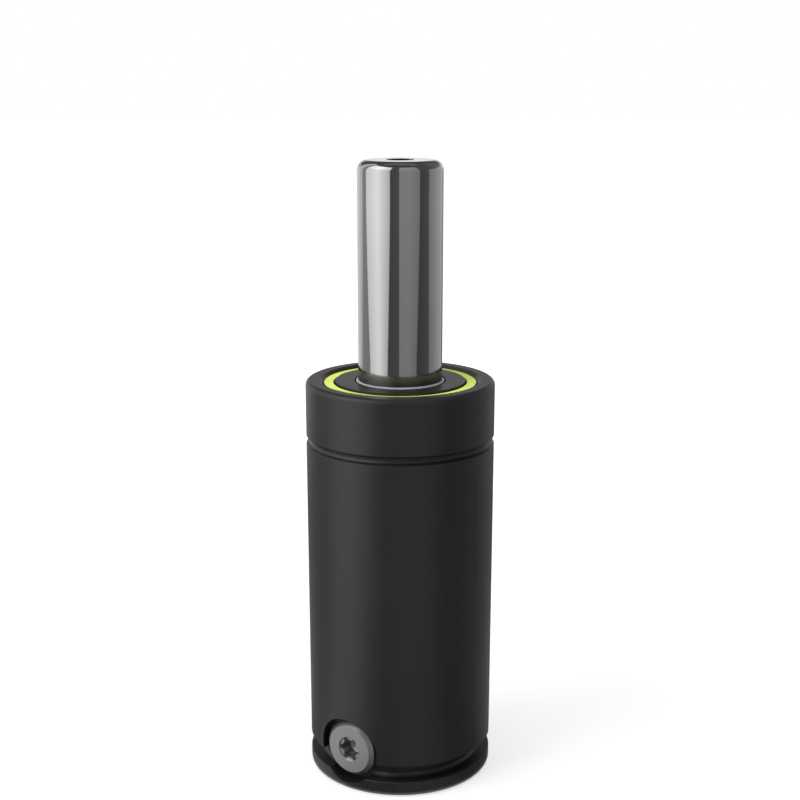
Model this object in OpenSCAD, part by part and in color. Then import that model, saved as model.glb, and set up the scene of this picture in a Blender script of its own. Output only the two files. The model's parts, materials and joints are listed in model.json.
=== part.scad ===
// Nitrogen die spring: a pressurised cylinder, a polished rod with a split stop collar,
// a sealed guide cartridge held by a round-wire ring, and a side charging port.
// Millimetres. The foot rests on z = 0, the rod rises along +Z, the port faces -Y.

/* [Rod and stroke] */
// Working stroke of the rod
stroke = 50; // [20:1:100]
// Diameter of the piston rod
rod_d = 20; // [16:0.5:28]
// Rod left standing above the cylinder at full stroke
rod_proud = 1.15; // [1:0.05:6]
// Rounding of the rod's top edge
rod_edge_r = 2.3; // [0.5:0.1:3]
// Diameter of the pulling thread in the rod's top
rod_thread_d = 6; // [5:0.5:10]
// Depth of the pulling thread
rod_thread_depth = 12; // [8:0.5:20]

/* [Stop collar and guide band] */
// Height of the split collar that stops the rod under the guide
collar_h = 5.5; // [4.5:0.1:10]
// Bevel on the collar's outer edges
collar_bevel = 0.6; // [0.2:0.1:0.9]
// Gap between the collar's two halves
collar_cut_w = 0.1; // [0.05:0.05:0.5]
// Height of the lip that locks the halves in the rod's groove
collar_lip_h = 2.2; // [1.5:0.1:3]
// Depth of that lip inside the rod
collar_lip_depth = 1.6; // [1:0.1:2.5]
// Height of the split guide band on the collar
band_h = 3; // [2:0.1:3.2]
// Thickness of the guide band
band_t = 2.2; // [1.2:0.1:2.6]
// How far the band stands out of the collar
band_proud = 0.55; // [0.3:0.05:0.8]
// Width of the cut through the guide band
band_cut_w = 1; // [0.5:0.1:2]
// Diameter of the gas holes through the collar
gas_hole_d = 3; // [1.5:0.1:3.4]
// Number of gas holes
gas_hole_count = 4; // [2:1:8]

/* [Cylinder] */
// Wall of the cylinder around its bore
wall_t = 4.35; // [4:0.05:8]
// Rounding of the top outer edge
top_edge_r = 1.2; // [0.3:0.1:1.8]
// Bevel at the mouth of the bore
mouth_bevel = 1; // [0.3:0.05:1.2]
// Rounding between the bore and its floor
floor_fillet_r = 2; // [0.5:0.1:3]
// Radius of the round clamping groove near the top
clamp_groove_r = 1; // [0.6:0.05:1.6]
// Distance from the top face to the middle of the clamping groove
clamp_groove_drop = 14.4; // [9:0.1:25]
// Bevel that breaks the edges of the grooves, the guide and the bush
edge_break = 0.15; // [0.05:0.05:0.4]
// Height of the foot below the lower groove
foot_h = 3.85; // [2.5:0.05:5]
// Rounding of the foot's bottom edge
foot_edge_r = 1.3; // [0.3:0.1:1.5]
// Height of the square groove over the foot
foot_groove_h = 4.15; // [2.5:0.05:5]
// Depth of the groove over the foot
foot_groove_depth = 3.6; // [1.5:0.1:4]
// Rounding of the inner corners of the groove over the foot
foot_groove_r = 1; // [0.3:0.1:1.2]

/* [Base fixing holes] */
// Diameter of the fixing threads in the base
base_thread_d = 8; // [5:0.5:10]
// Depth of the fixing threads
base_thread_depth = 12; // [8:0.5:14]
// Countersink at the mouth of a tapped hole
thread_sink = 0.3; // [0.1:0.05:0.6]
// Pitch circle of the two base holes
base_pcd = 20; // [18:0.5:26]

/* [Guide cartridge] */
// Depth of the guide's top below the cylinder's top
guide_drop = 0.2; // [0:0.05:1]
// Width of the wiper's seat around the rod
wiper_w = 3.2; // [2.5:0.1:4]
// Height of the wiper's seat
wiper_h = 3.8; // [3:0.1:5]
// Thickness of the land over the wiper
wiper_land_h = 1.3; // [0.8:0.1:2]
// Thickness of the wiper's lip at the rod
wiper_lip_t = 0.55; // [0.45:0.05:0.9]
// Open gap between that lip and the guide
wiper_gap = 0.35; // [0.2:0.05:0.8]
// Wall of the guide's neck around the wiper
neck_wall = 2.3; // [1.5:0.1:4]
// Thickness of the land between wiper and bush
bush_land_h = 1; // [0.8:0.1:2]
// Length of the guide bush
bush_h = 8.5; // [6:0.1:14]
// Wall of the guide bush
bush_t = 1.5; // [1:0.1:2]
// Width of the seal cavity around the rod
seal_w = 4.5; // [4:0.1:4.8]
// Height of the backup ring over the rod seal
backup_h = 1.6; // [1:0.1:2.5]
// Height of the rod seal
rod_seal_h = 4.2; // [3.8:0.1:6]
// Section of the ring that spreads the rod seal's lips
energiser_d = 1.6; // [1.2:0.1:1.7]
// Thickness of the washer that holds the rod seal in
retainer_h = 1.6; // [1.2:0.1:3]

/* [Guide ring seal] */
// Section of the guide's outer sealing ring
guide_ring_d = 1.75; // [1.2:0.05:2]
// Height of the backup ring beside it
guide_backup_h = 1.2; // [0.8:0.1:2]
// Height of the guide's bottom edge below the sealing groove
guide_groove_rise = 2.4; // [1.5:0.1:4]
// Lead-in bevel on the guide's bottom edge
guide_lead = 0.8; // [0.3:0.1:1.2]

/* [Retaining ring and dust ring] */
// Diameter of the round retaining wire
wire_d = 3; // [2:0.1:3.4]
// Distance from the cylinder's top to the middle of the wire
wire_drop = 5.2; // [4:0.1:6]
// Opening of the retaining ring, in degrees
wire_opening = 14; // [6:1:40]
// Width of the coloured dust ring
dust_ring_w = 2.48; // [1.8:0.02:4]
// Depth of the dust ring's top below the cylinder's top
dust_ring_drop = 0.65; // [0.1:0.05:1]
// Open gap between the dust ring and the guide's neck
dust_ring_gap = 0.24; // [0.1:0.02:0.5]
// Bevel on the dust ring's top edges
dust_ring_bevel = 0.15; // [0.05:0.05:0.4]

/* [Port plug] */
// Height of the port's axis above the foot
port_z = 10.1; // [9:0.1:14]
// Diameter of the pocket around the plug
pocket_d = 16.5; // [14.5:0.1:17]
// Solid metal between the pocket and the gas room
port_roof = 1.15; // [1:0.05:4]
// Diameter of the plug's head
plug_head_d = 13.9; // [11.5:0.1:14]
// Thickness of the plug's head
plug_head_t = 2.4; // [1.8:0.1:3]
// Bevel on the plug's head
plug_head_bevel = 0.95; // [0.2:0.05:1.2]
// Depth of the plug's face below the cylinder's side
plug_sink = 1.3; // [0.5:0.1:2]
// Thickness of the plug's sealing washer
plug_seal_t = 0.6; // [0.4:0.1:1.2]
// Tapping diameter of the port
port_tap_d = 8.8; // [8.2:0.1:9.4]
// Length of the plug's screwed shank below its washer
plug_shank_l = 5; // [4.2:0.1:7]
// Across the points of the six-lobe socket
socket_d = 6; // [5:0.05:7]
// Across the hollows of the six-lobe socket
socket_root_d = 4.45; // [3.6:0.05:5.2]
// Depth of the socket
socket_depth = 3.4; // [2:0.1:5]
// Bevel at the mouth of the socket
socket_bevel = 0.2; // [0.1:0.05:0.5]

/* [Charging valve] */
// Outside diameter of the valve body
valve_d = 6.8; // [6:0.1:7.4]
// Length of the valve body
valve_l = 8; // [7:0.1:10]
// Length of the closed end that the pin passes through
valve_land_l = 3.5; // [3:0.1:4]
// Diameter of the spring's room in the valve body
spring_room_d = 4.2; // [3.9:0.1:4.6]
// Diameter of the hole that the pin passes through
pin_hole_d = 2; // [1.8:0.1:2.2]
// Diameter of the valve pin
pin_d = 1.4; // [1:0.1:1.5]
// Diameter of the pin's head
pin_head_d = 3.8; // [3.4:0.1:4.2]
// Thickness of the pin's head
pin_head_t = 1.2; // [0.8:0.1:1.6]
// How far the pin can be pressed in
pin_travel = 1; // [0.5:0.1:1.2]
// Thickness of the pin's sealing washer
pin_seal_t = 0.85; // [0.5:0.05:1.2]
// Height of the seat lip on the valve body
seat_lip_h = 0.3; // [0.2:0.05:0.6]
// Diameter of the cap on the pin
cap_d = 3.6; // [3.4:0.1:3.7]
// Thickness of the cap
cap_t = 0.8; // [0.5:0.1:1.2]
// Distance from the valve body's outer end to the cap
cap_sink = 0.8; // [0.4:0.1:1.2]
// Diameter of the valve spring's wire
spring_wire_d = 0.4; // [0.3:0.05:0.45]
// Turns of the valve spring
spring_turns = 4.5; // [3:0.5:5]
// Section of the valve body's sealing ring
valve_ring_d = 0.85; // [0.6:0.05:1]
// Width of the driver slot across the valve body's outer end
valve_slot_w = 1; // [0.6:0.1:1.4]
// Depth of that slot
valve_slot_depth = 1.2; // [0.6:0.1:2]
// Diameter of the gas passage from the valve to the gas room
passage_d = 3; // [2:0.1:3.6]

/* [Clearances] */
// Room under the collar at full stroke
floor_gap = 1.6; // [0.8:0.05:5]
// Gap between collar and guide at full length
stop_gap = 0.05; // [0:0.01:0.3]
// Radial clearance of a running fit on the rod and in the bore
run_fit = 0.03; // [0.01:0.01:0.1]
// Clearance of a seated piece in its place
seat_fit = 0.05; // [0.02:0.01:0.1]
// Gap between the dust ring and the wire under it
dust_seat_gap = 0.2; // [0.05:0.05:0.3]

/* [Hidden] */
$fn = 96;
// Overlap that carries a cut past the face it opens
over = 1;
// Flank angle of a drilled hole's end
drill_slope = 31;

// Radii, from the rod outwards
rod_r = rod_d / 2;
run_r = rod_r + run_fit;
wiper_seat_r = rod_r + wiper_w;
neck_r = wiper_seat_r + neck_wall;
dust_ring_r = neck_r + dust_ring_gap;
bore_r = dust_ring_r + dust_ring_w + run_fit;
body_r = bore_r + wall_t;
guide_r = bore_r - seat_fit;
bush_r = rod_r + bush_t;
seal_r = rod_r + seal_w;
wiper_mouth_r = rod_r + wiper_lip_t + wiper_gap;
land_hole_r = rod_r + 8 * seat_fit;
wire_r = wire_d / 2;

// Heights, from the foot upwards
pocket_r = pocket_d / 2;
floor_z = port_z + pocket_r + port_roof;
collar_z = floor_z + floor_gap + stroke;
collar_top_z = collar_z + collar_h;
guide_z = collar_top_z + stop_gap;
retainer_top_z = guide_z + retainer_h;
rod_seal_top_z = retainer_top_z + rod_seal_h;
bush_z = rod_seal_top_z + backup_h;
bush_top_z = bush_z + bush_h;
wiper_z = bush_top_z + bush_land_h;
wiper_top_z = wiper_z + wiper_h;
guide_top_z = wiper_top_z + wiper_land_h;
body_top_z = guide_top_z + guide_drop;
rod_top_z = body_top_z + rod_proud + stroke;
wire_z = body_top_z - wire_drop;
dust_ring_z = wire_z + wire_r + dust_seat_gap;
dust_ring_top_z = body_top_z - dust_ring_drop;
clamp_groove_z = body_top_z - clamp_groove_drop;

// Collar and guide band
band_r = bore_r - seat_fit;
band_in_r = band_r - band_t;
collar_r = band_r - band_proud;
collar_mid_z = collar_z + collar_h / 2;
collar_lip_r = rod_r - collar_lip_depth;
band_z = collar_mid_z - band_h / 2;
gas_hole_pcd = rod_r + band_in_r;

// Rod seal and guide seal
energiser_r = energiser_d / 2;
energiser_mid_r = rod_r + seal_w / 2;
energiser_z = retainer_top_z + rod_seal_h / 3;
guide_groove_r = bore_r - guide_ring_d - 2 * seat_fit;
guide_ring_z = guide_z + guide_groove_rise + seat_fit + guide_ring_d / 2;
guide_backup_z = guide_ring_z + guide_ring_d / 2 + 2 * seat_fit;
guide_groove_top_z = guide_backup_z + guide_backup_h + seat_fit;

// Port, measured outwards from the cylinder's axis
plug_face = body_r - plug_sink;
plug_under = plug_face - plug_head_t;
pocket_floor = plug_under - plug_seal_t;
plug_end = pocket_floor - plug_shank_l;
plug_r = port_tap_d / 2 - seat_fit;
plug_end_gap = 0.3;
valve_end = plug_end - plug_end_gap;
valve_in = valve_end - valve_l;
valve_bore_r = valve_d / 2 + seat_fit;
spring_floor = valve_in + valve_land_l;
cap_out = valve_end - cap_sink;
cap_in = cap_out - cap_t;
pin_end = cap_out + cap_sink / 2;
seat_lip = valve_in - seat_lip_h;
pin_seal_out = seat_lip - seat_fit;
pin_seal_in = pin_seal_out - pin_seal_t;
pin_in = pin_seal_in - pin_head_t;
valve_room_l = valve_in - pin_in + 1.5 * pin_travel;
valve_room_r = pin_head_d / 2 + 14 * seat_fit;
valve_ring_r = valve_ring_d / 2;
valve_groove_r = valve_bore_r - valve_ring_d - 2 * seat_fit;
valve_ring_mid = valve_in + valve_land_l / 2;
seat_lip_w = (pin_head_d - pin_hole_d) / 4;
spring_mid_r = (cap_d + pin_d) / 4 + spring_wire_d / 4;

// Turns a piece built along +Z so that it lies along the port's axis, outwards on +Z.
module at_port() {
    translate([0, 0, port_z]) rotate([90, 0, 0]) children();
}

// A plain ring between two radii and two heights.
module ring(r_in, r_out, z0, z1) {
    rotate_extrude() translate([r_in, z0]) square([r_out - r_in, z1 - z0]);
}

// A ring of round section.
module round_ring(mid_r, section_r, z) {
    rotate_extrude() translate([mid_r, z]) circle(section_r);
}

// The waste outside a rounding of an edge: the edge is at the origin, the metal at +x and +y.
module rounding_waste(r) {
    difference() {
        translate([-over, -over]) square(r + over);
        translate([r, r]) circle(r);
    }
}

// The waste outside a bevel of an edge: the edge is at the origin, the metal at +x and +y.
module bevel_waste(w) {
    polygon([[-over, -over], [w + over, -over], [w, 0], [0, w], [-over, w + over]]);
}

// A drilled and countersunk hole going down from the origin, with a pointed end.
module tapped_hole(d, depth) {
    r = d / 2;
    translate([0, 0, -depth]) cylinder(r = r, h = depth + over);
    translate([0, 0, -depth - r * tan(drill_slope)]) cylinder(r1 = 0, r2 = r, h = r * tan(drill_slope));
    translate([0, 0, -thread_sink]) cylinder(r1 = r, r2 = r + thread_sink + over, h = thread_sink + over);
}

// The waste that breaks the two edges of a groove in the cylinder's side.
module groove_edges(half_h, z) {
    translate([body_r, z])
        for (side = [0, 1])
            mirror([0, side]) translate([0, half_h]) mirror([1, 0]) bevel_waste(edge_break);
}

// The waste of the square groove over the foot, with its inner corners rounded.
module foot_groove_waste() {
    half_h = foot_groove_h / 2;
    mid_z = foot_h + half_h;
    translate([body_r, mid_z]) difference() {
        translate([-foot_groove_depth, -half_h]) square([foot_groove_depth + over, foot_groove_h]);
        for (side = [0, 1])
            mirror([0, side]) translate([-foot_groove_depth, -half_h]) rounding_waste(foot_groove_r);
    }
    groove_edges(half_h, mid_z);
}

// Section of the turned cylinder before it is drilled.
module cylinder_section() {
    difference() {
        square([body_r, body_top_z]);
        // Gas room and mouth of the bore
        difference() {
            translate([-over, floor_z]) square([bore_r + over, body_top_z]);
            translate([bore_r, floor_z]) mirror([1, 0]) rounding_waste(floor_fillet_r);
        }
        translate([bore_r, body_top_z - mouth_bevel]) polygon([
            [-over, 0], [0, 0], [mouth_bevel + over, mouth_bevel + over], [-over, mouth_bevel + over]
        ]);
        translate([bore_r, wire_z]) circle(wire_r + seat_fit);
        // Outside edges and grooves
        translate([body_r, body_top_z]) mirror([1, 0]) mirror([0, 1]) rounding_waste(top_edge_r);
        translate([body_r, 0]) mirror([1, 0]) rounding_waste(foot_edge_r);
        translate([body_r, clamp_groove_z]) circle(clamp_groove_r);
        groove_edges(clamp_groove_r, clamp_groove_z);
        foot_groove_waste();
    }
}

module cylinder_body() {
    color([0.13, 0.14, 0.14]) difference() {
        rotate_extrude() cylinder_section();
        at_port() {
            translate([0, 0, pocket_floor]) cylinder(r = pocket_r, h = body_r);
            translate([0, 0, valve_end]) cylinder(d = port_tap_d, h = body_r - valve_end);
            translate([0, 0, valve_in]) cylinder(r = valve_bore_r, h = body_r - valve_in);
            translate([0, 0, valve_in - valve_room_l]) cylinder(r = valve_room_r, h = valve_room_l + over);
        }
        translate([0, valve_room_l / 2 - valve_in, port_z])
            cylinder(d = passage_d, h = floor_z - port_z + over);
        for (side = [-1, 1])
            translate([side * base_pcd / 2, 0, 0]) mirror([0, 0, 1])
                tapped_hole(base_thread_d, base_thread_depth);
    }
}

module piston_rod() {
    color([0.78, 0.79, 0.8]) difference() {
        rotate_extrude() difference() {
            translate([0, collar_z]) square([rod_r, rod_top_z - collar_z]);
            translate([rod_r, rod_top_z]) mirror([1, 0]) mirror([0, 1]) rounding_waste(rod_edge_r);
            translate([rod_r, collar_z]) mirror([1, 0]) bevel_waste(edge_break);
            translate([collar_lip_r, collar_mid_z - collar_lip_h / 2])
                square([collar_lip_depth + over, collar_lip_h]);
        }
        translate([0, 0, rod_top_z]) tapped_hole(rod_thread_d, rod_thread_depth);
    }
}

// One half of the stop collar, on the +Y side of the split, with its lip in the rod's groove.
module stop_collar_half() {
    inner_r = rod_r + seat_fit;
    lip_half = collar_lip_h / 2 - seat_fit;
    lip_in_r = collar_lip_r + seat_fit;
    difference() {
        rotate_extrude() difference() {
            union() {
                translate([inner_r, collar_z]) square([collar_r - inner_r, collar_h]);
                translate([lip_in_r, collar_mid_z - lip_half])
                    square([rod_r + over - lip_in_r, 2 * lip_half]);
            }
            translate([band_in_r - seat_fit, band_z - seat_fit])
                square([band_t + over, band_h + 2 * seat_fit]);
            translate([collar_r, collar_z]) mirror([1, 0]) bevel_waste(collar_bevel);
            translate([collar_r, collar_top_z]) mirror([1, 0]) mirror([0, 1]) bevel_waste(collar_bevel);
        }
        translate([-body_r, collar_cut_w / 2 - body_r, collar_z - over])
            cube([2 * body_r, body_r, collar_h + 2 * over]);
        for (hole = [0 : gas_hole_count - 1])
            rotate([0, 0, (hole + 0.5) * 360 / gas_hole_count])
                translate([gas_hole_pcd / 2, 0, collar_z - over])
                    cylinder(d = gas_hole_d, h = collar_h + 2 * over);
    }
}

module stop_collar_front() {
    color([0.6, 0.61, 0.62]) rotate([0, 0, 180]) stop_collar_half();
}

module stop_collar_back() {
    color([0.6, 0.61, 0.62]) stop_collar_half();
}

module piston_guide_band() {
    color([0.2, 0.23, 0.2]) difference() {
        ring(band_in_r, band_r, band_z, band_z + band_h);
        translate([-band_cut_w / 2, 0, band_z - over]) cube([band_cut_w, body_r, band_h + 2 * over]);
    }
}

module guide_housing() {
    color([0.36, 0.37, 0.38]) rotate_extrude() difference() {
        translate([rod_r + seat_fit, guide_z]) square([guide_r - rod_r - seat_fit, guide_top_z - guide_z]);
        // Shoulder and round seat for the retaining wire
        translate([neck_r, wire_z]) square([body_r, body_top_z]);
        translate([bore_r, wire_z]) circle(wire_r + seat_fit);
        // Bores, from the gas side to the open top
        translate([0, guide_z - over]) square([seal_r, bush_z - guide_z + over]);
        translate([0, bush_z - over]) square([bush_r, bush_h + over]);
        translate([0, bush_top_z - over]) square([land_hole_r, bush_land_h + 2 * over]);
        translate([0, wiper_z]) square([wiper_seat_r, wiper_h]);
        translate([0, wiper_top_z - over]) square([wiper_mouth_r, wiper_land_h + 2 * over]);
        // Groove for the outer sealing ring
        translate([guide_groove_r, guide_z + guide_groove_rise])
            square([body_r, guide_groove_top_z - guide_z - guide_groove_rise]);
        // Lead-in and broken edges
        translate([guide_r, guide_z]) mirror([1, 0]) bevel_waste(guide_lead);
        translate([neck_r, guide_top_z]) mirror([1, 0]) mirror([0, 1]) bevel_waste(edge_break);
        translate([wiper_mouth_r, guide_top_z]) mirror([0, 1]) bevel_waste(edge_break);
    }
}

module guide_bush() {
    color([0.68, 0.5, 0.3]) rotate_extrude() difference() {
        translate([run_r, bush_z]) square([bush_r - run_r, bush_h]);
        translate([bush_r, bush_top_z]) mirror([1, 0]) mirror([0, 1]) bevel_waste(edge_break);
        translate([run_r, bush_z]) bevel_waste(edge_break);
        translate([run_r, bush_top_z]) mirror([0, 1]) bevel_waste(edge_break);
    }
}

module rod_wiper() {
    foot_z = wiper_z + seat_fit;
    head_z = wiper_top_z - seat_fit;
    back_r = rod_r + 7 * seat_fit;
    lip_r = rod_r + wiper_lip_t;
    lip_slope_h = 0.3;
    lip_edge_h = 0.6;
    lip_top_z = body_top_z;
    color([0.55, 0.56, 0.57]) rotate_extrude() polygon([
        [back_r, foot_z], [wiper_seat_r - seat_fit, foot_z], [wiper_seat_r - seat_fit, head_z],
        [lip_r, head_z], [lip_r, lip_top_z - lip_slope_h], [run_r, lip_top_z],
        [run_r, lip_top_z - lip_edge_h], [back_r, lip_top_z - 2 * lip_edge_h]
    ]);
}

module rod_seal() {
    foot_z = retainer_top_z + seat_fit;
    head_z = rod_seal_top_z - seat_fit;
    outer_r = seal_r - seat_fit;
    back_r = rod_r + 5 * seat_fit;
    lip_h = rod_seal_h / 4;
    lip_bevel = 6 * seat_fit;
    color([0.5, 0.12, 0.1]) rotate_extrude() difference() {
        polygon([
            [run_r + lip_bevel, foot_z], [outer_r - lip_bevel, foot_z], [outer_r, foot_z + lip_bevel],
            [outer_r, head_z], [back_r, head_z], [back_r, foot_z + 2 * lip_h],
            [run_r, foot_z + lip_h], [run_r, foot_z + lip_bevel]
        ]);
        translate([energiser_mid_r, energiser_z]) circle(energiser_r + 2 * seat_fit);
        translate([energiser_mid_r - energiser_r, foot_z - over])
            square([energiser_d, energiser_z - foot_z + over]);
    }
}

module seal_energiser() {
    color([0.08, 0.08, 0.08]) round_ring(energiser_mid_r, energiser_r, energiser_z);
}

module seal_backup_ring() {
    color([0.85, 0.84, 0.8]) ring(run_r + seat_fit, seal_r - seat_fit, rod_seal_top_z, bush_z - seat_fit);
}

module seal_retainer() {
    color([0.6, 0.61, 0.62]) ring(land_hole_r, seal_r - seat_fit / 2, guide_z, retainer_top_z);
}

module guide_o_ring() {
    color([0.08, 0.08, 0.08])
        round_ring(guide_groove_r + seat_fit + guide_ring_d / 2, guide_ring_d / 2, guide_ring_z);
}

module guide_backup_ring() {
    color([0.85, 0.84, 0.8])
        ring(guide_groove_r + seat_fit, bore_r - seat_fit, guide_backup_z, guide_backup_z + guide_backup_h);
}

module retaining_ring() {
    color([0.5, 0.5, 0.52]) rotate([0, 0, 90 + wire_opening / 2])
        rotate_extrude(angle = 360 - wire_opening) translate([bore_r, wire_z]) circle(wire_r);
}

module dust_ring() {
    outer_r = dust_ring_r + dust_ring_w;
    bevel_z = dust_ring_top_z - dust_ring_bevel;
    color([0.9, 0.96, 0.42]) rotate_extrude() polygon([
        [dust_ring_r, dust_ring_z], [outer_r, dust_ring_z], [outer_r, bevel_z],
        [outer_r - dust_ring_bevel, dust_ring_top_z], [dust_ring_r + dust_ring_bevel, dust_ring_top_z],
        [dust_ring_r, bevel_z]
    ]);
}

// Outline of the six-lobe socket: a circle with six round hollows cut into it.
module six_lobe() {
    lobes = 6;
    hollow_r = 0.21 * socket_d;
    difference() {
        circle(d = socket_d);
        for (lobe = [0 : lobes - 1])
            rotate((lobe + 0.5) * 360 / lobes)
                translate([socket_root_d / 2 + hollow_r, 0]) circle(hollow_r);
    }
}

module port_plug() {
    head_r = plug_head_d / 2;
    mouth_r = socket_d / 2 + socket_bevel;
    socket_floor = plug_face - socket_depth;
    point_r = socket_root_d / 2;
    point_h = point_r * tan(drill_slope);
    color([0.55, 0.56, 0.56]) at_port() difference() {
        rotate_extrude() polygon([
            [0, plug_end], [plug_r - socket_bevel, plug_end], [plug_r, plug_end + socket_bevel],
            [plug_r, plug_under], [head_r, plug_under], [head_r, plug_face - plug_head_bevel],
            [head_r - plug_head_bevel, plug_face], [0, plug_face]
        ]);
        translate([0, 0, socket_floor]) linear_extrude(socket_depth + over) six_lobe();
        translate([0, 0, socket_floor - point_h]) cylinder(r1 = 0, r2 = point_r, h = point_h);
        translate([0, 0, plug_face - 2 * socket_bevel])
            cylinder(r1 = mouth_r - 2 * socket_bevel, r2 = mouth_r + over, h = 2 * socket_bevel + over);
    }
}

module port_plug_seal() {
    color([0.72, 0.43, 0.26]) at_port()
        ring(port_tap_d / 2 + seat_fit, plug_head_d / 2 - 4 * seat_fit, pocket_floor, plug_under);
}

module valve_body() {
    lip_r = (pin_hole_d + pin_head_d) / 4;
    groove_h = valve_ring_d + 4 * seat_fit;
    color([0.75, 0.6, 0.33]) at_port() difference() {
        union() {
            translate([0, 0, valve_in]) cylinder(d = valve_d, h = valve_l);
            ring(lip_r - seat_lip_w / 2, lip_r + seat_lip_w / 2, seat_lip, valve_in + over);
        }
        translate([0, 0, valve_in - over]) cylinder(d = pin_hole_d, h = valve_l);
        translate([0, 0, spring_floor]) cylinder(d = spring_room_d, h = valve_l);
        ring(valve_groove_r, valve_d, valve_ring_mid - groove_h / 2, valve_ring_mid + groove_h / 2);
        translate([-valve_d, -valve_slot_w / 2, valve_end - valve_slot_depth])
            cube([2 * valve_d, valve_slot_w, valve_slot_depth + over]);
    }
}

module valve_body_seal() {
    color([0.08, 0.08, 0.08]) at_port()
        round_ring(valve_groove_r + seat_fit + valve_ring_r, valve_ring_r, valve_ring_mid);
}

module valve_pin() {
    color([0.7, 0.71, 0.72]) at_port() {
        translate([0, 0, pin_in]) cylinder(d = pin_d, h = pin_end - pin_in);
        translate([0, 0, pin_in]) cylinder(d = pin_head_d, h = pin_head_t);
    }
}

module valve_pin_cap() {
    color([0.75, 0.6, 0.33]) at_port() ring(pin_d / 2 + seat_fit / 2, cap_d / 2, cap_in, cap_out);
}

module valve_pin_seal() {
    color([0.08, 0.08, 0.08]) at_port()
        ring(pin_d / 2 + seat_fit / 2, pin_head_d / 2 - seat_fit, pin_seal_in, pin_seal_out);
}

module valve_spring() {
    sides = 8;
    steps_per_turn = 16;
    wire_rr = spring_wire_d / 2;
    steps = spring_turns * steps_per_turn;
    first = spring_floor + seat_fit + wire_rr;
    last = cap_in - seat_fit - wire_rr;
    points = [
        for (step = [0 : steps], side = [0 : sides - 1])
            let (turn = step * 360 / steps_per_turn, edge = side * 360 / sides)
            let (reach = spring_mid_r + wire_rr * cos(edge))
            let (rise = first + (last - first) * step / steps)
            [reach * cos(turn), reach * sin(turn), rise + wire_rr * sin(edge)]
    ];
    walls = [
        for (step = [0 : steps - 1], side = [0 : sides - 1])
            let (next = (side + 1) % sides, below = step * sides, above = below + sides)
            [below + side, above + side, above + next, below + next]
    ];
    start = [for (side = [0 : sides - 1]) side];
    finish = [for (side = [sides - 1 : -1 : 0]) steps * sides + side];
    color([0.6, 0.61, 0.62]) at_port() polyhedron(points, concat(walls, [start, finish]));
}

cylinder_body();
piston_rod();
stop_collar_front();
stop_collar_back();
piston_guide_band();
guide_housing();
guide_bush();
rod_wiper();
rod_seal();
seal_energiser();
seal_backup_ring();
seal_retainer();
guide_o_ring();
guide_backup_ring();
retaining_ring();
dust_ring();
port_plug();
port_plug_seal();
valve_body();
valve_body_seal();
valve_pin();
valve_pin_cap();
valve_pin_seal();
valve_spring();
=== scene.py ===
"""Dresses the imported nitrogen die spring: finishes, threads, the valve's coil, stage and camera."""
import json
from math import atan2, cos, degrees, pi, radians, sin, tau
from typing import NamedTuple

import bmesh
import bpy
from bpy.props import FloatProperty, FloatVectorProperty, IntProperty, PointerProperty
from mathutils import Matrix, Vector


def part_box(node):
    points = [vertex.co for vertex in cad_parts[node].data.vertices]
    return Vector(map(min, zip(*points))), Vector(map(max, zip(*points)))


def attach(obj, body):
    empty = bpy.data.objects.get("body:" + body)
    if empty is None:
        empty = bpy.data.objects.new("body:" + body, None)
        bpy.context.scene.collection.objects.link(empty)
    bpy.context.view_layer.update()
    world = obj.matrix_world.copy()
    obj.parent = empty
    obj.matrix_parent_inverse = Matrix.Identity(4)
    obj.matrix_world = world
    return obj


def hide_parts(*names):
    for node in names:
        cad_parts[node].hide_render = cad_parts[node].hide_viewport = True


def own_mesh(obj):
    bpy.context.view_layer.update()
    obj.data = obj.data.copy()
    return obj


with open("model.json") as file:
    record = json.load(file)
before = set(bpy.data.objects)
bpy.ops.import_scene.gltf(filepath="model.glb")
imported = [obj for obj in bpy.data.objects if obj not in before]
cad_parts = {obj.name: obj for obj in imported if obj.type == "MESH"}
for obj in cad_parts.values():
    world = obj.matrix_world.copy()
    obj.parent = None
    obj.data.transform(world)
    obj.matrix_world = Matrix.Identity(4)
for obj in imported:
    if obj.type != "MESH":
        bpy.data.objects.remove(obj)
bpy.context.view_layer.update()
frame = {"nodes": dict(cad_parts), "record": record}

bl_info = {
    "name": "Nitrogen die spring",
    "version": (1, 0, 0),
    "blender": (4, 5, 0),
    "location": "View3D > Sidebar > Die spring",
    "description": "Finishes, threads and studio stage of a nitrogen die spring",
    "category": "Object",
}

MOUNTS = {mount["name"]: mount for mount in frame["record"]["mounts"]}
ROD_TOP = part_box("piston_rod")[1].z
ROD_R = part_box("piston_rod")[1].x
WIPER_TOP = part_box("rod_wiper")[1].z
PORT_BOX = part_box("port_plug")
PORT_Z = (PORT_BOX[0].z + PORT_BOX[1].z) / 2
MM = 0.001
# Values between which a noise is stretched to its full range
NOISE_SPAN = (0.3, 0.7)
# Weight of the height in the path of the turning lines, so that end faces and sides both show them
PATH_RISE = 1.37


class Zone(NamedTuple):
    """A ring of a finish round an axis, with the share that it brings a colour to or roughens by."""

    share: float
    radius: float
    half_width: float
    low: float
    high: float
    soft: float


def colour(label, text, default):
    """A colour of one finish, as scene-linear red, green and blue."""
    return FloatVectorProperty(
        name=label, description=text, default=default, min=0.0, max=1.0, size=3, subtype="COLOR"
    )


def length(label, text, default):
    """A length in metres."""
    return FloatProperty(name=label, description=text, default=default, precision=5, unit="LENGTH")


def angle(label, text, default):
    """An angle given in degrees and kept in radians."""
    return FloatProperty(name=label, description=text, default=radians(default), subtype="ANGLE")


def level(label, text, default):
    """A plain strength without a unit."""
    return FloatProperty(name=label, description=text, default=default, min=0.0)


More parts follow.
